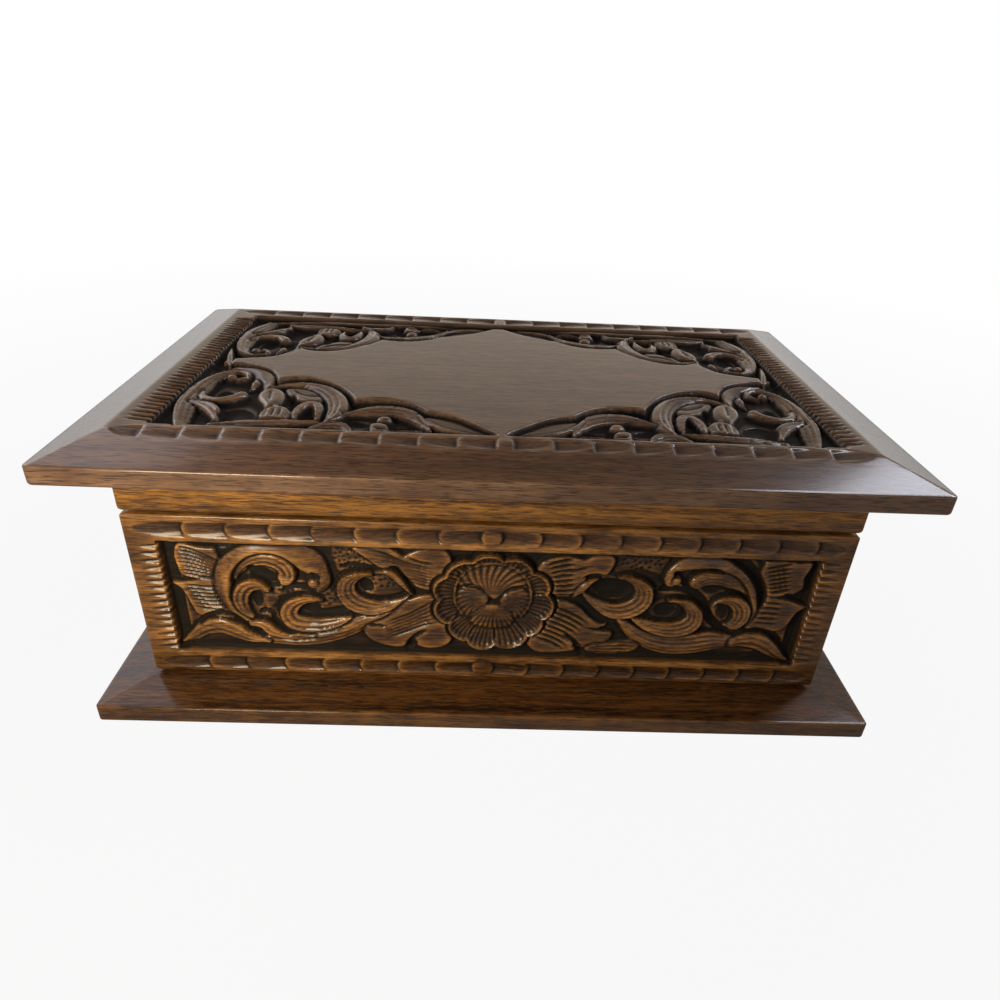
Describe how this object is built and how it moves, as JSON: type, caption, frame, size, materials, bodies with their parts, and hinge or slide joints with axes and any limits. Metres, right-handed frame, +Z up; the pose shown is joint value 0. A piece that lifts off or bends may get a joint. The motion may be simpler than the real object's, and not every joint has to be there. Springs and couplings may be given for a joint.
{
  "type": "jewelry box",
  "caption": "Carved wooden jewelry box with a hinged lid, overhanging bevelled base and lid boards, and a cloth-lined inside.",
  "frame": {"origin": "centre of the underside of the base board", "axes": "+X to the right seen from the carved front, +Y to the back, where the hinges are, +Z up"},
  "size_m": [0.305, 0.1906, 0.1175],
  "materials": {
    "carved_walnut": "satin lacquer over dark stain, worn on the raised carving",
    "walnut_boards": "satin lacquer over dark stain",
    "walnut_walls": "satin lacquer over dark stain",
    "velvet_lining": "short pile velvet",
    "hinge_brass": "aged",
    "brass_screws": "aged",
    "steel_screws": "dull zinc"
  },
  "bodies": {
    "box": {"base_board": "walnut_boards", "front_wall": "carved_walnut", "back_wall": "walnut_walls", "left_wall": "walnut_walls", "right_wall": "walnut_walls", "floor_lining": "velvet_lining", "front_lining": "velvet_lining", "back_lining": "velvet_lining", "left_lining": "velvet_lining", "right_lining": "velvet_lining", "base_screws": "steel_screws", "hinge_left_box_leaf": "hinge_brass", "hinge_right_box_leaf": "hinge_brass", "hinge_left_pin": "hinge_brass", "hinge_right_pin": "hinge_brass", "box_leaf_screws": "brass_screws"},
    "lid": {"lid_board": "carved_walnut", "lid_rail_front": "walnut_walls", "lid_rail_back": "walnut_walls", "lid_rail_left": "walnut_walls", "lid_rail_right": "walnut_walls", "lid_lining": "velvet_lining", "hinge_left_lid_leaf": "hinge_brass", "hinge_right_lid_leaf": "hinge_brass", "lid_leaf_screws": "brass_screws"}
  },
  "joints": [
    {"name": "lid_hinge", "type": "hinge", "parent": "box", "child": "lid", "pos_m": [0, 0.08025, 0.08475], "axis": [-1, 0, 0], "range_deg": [0, 145]}
  ]
}
